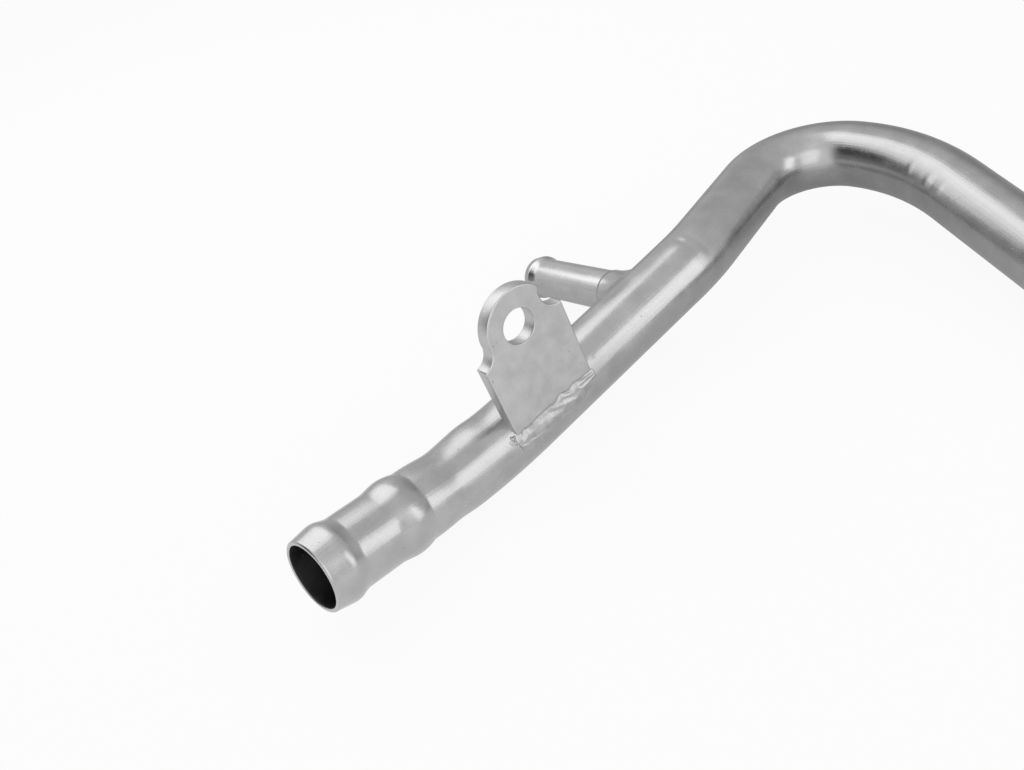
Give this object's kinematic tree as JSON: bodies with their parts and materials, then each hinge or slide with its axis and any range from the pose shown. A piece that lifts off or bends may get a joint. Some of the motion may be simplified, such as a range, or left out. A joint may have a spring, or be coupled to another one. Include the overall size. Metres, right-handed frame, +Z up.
{
  "type": "coolant pipe",
  "caption": "Rigid bent metal coolant pipe with beaded hose ends, a small beaded side nipple and a welded flat bracket with a screw hole.",
  "frame": {"origin": "centre of the bounding box's bottom face, on the floor that the pipe rests on", "axes": "+Z up from the floor, +X along the pipe from the inlet end towards the outlet end, +Y away from the bracket's flat face"},
  "size_m": [0.2034, 0.1138, 0.0477],
  "materials": {
    "plated_tube": "satin zinc plate",
    "plated_nipple": "satin zinc plate",
    "plated_braze": "satin zinc plate over braze",
    "plated_sheet": "matt zinc plate",
    "plated_weld": "rippled weld metal under zinc plate"
  },
  "bodies": {
    "root": {"main_tube": "plated_tube", "branch_nipple": "plated_nipple", "nipple_braze": "plated_braze", "mounting_bracket": "plated_sheet", "bracket_weld": "plated_weld"}
  },
  "joints": []
}
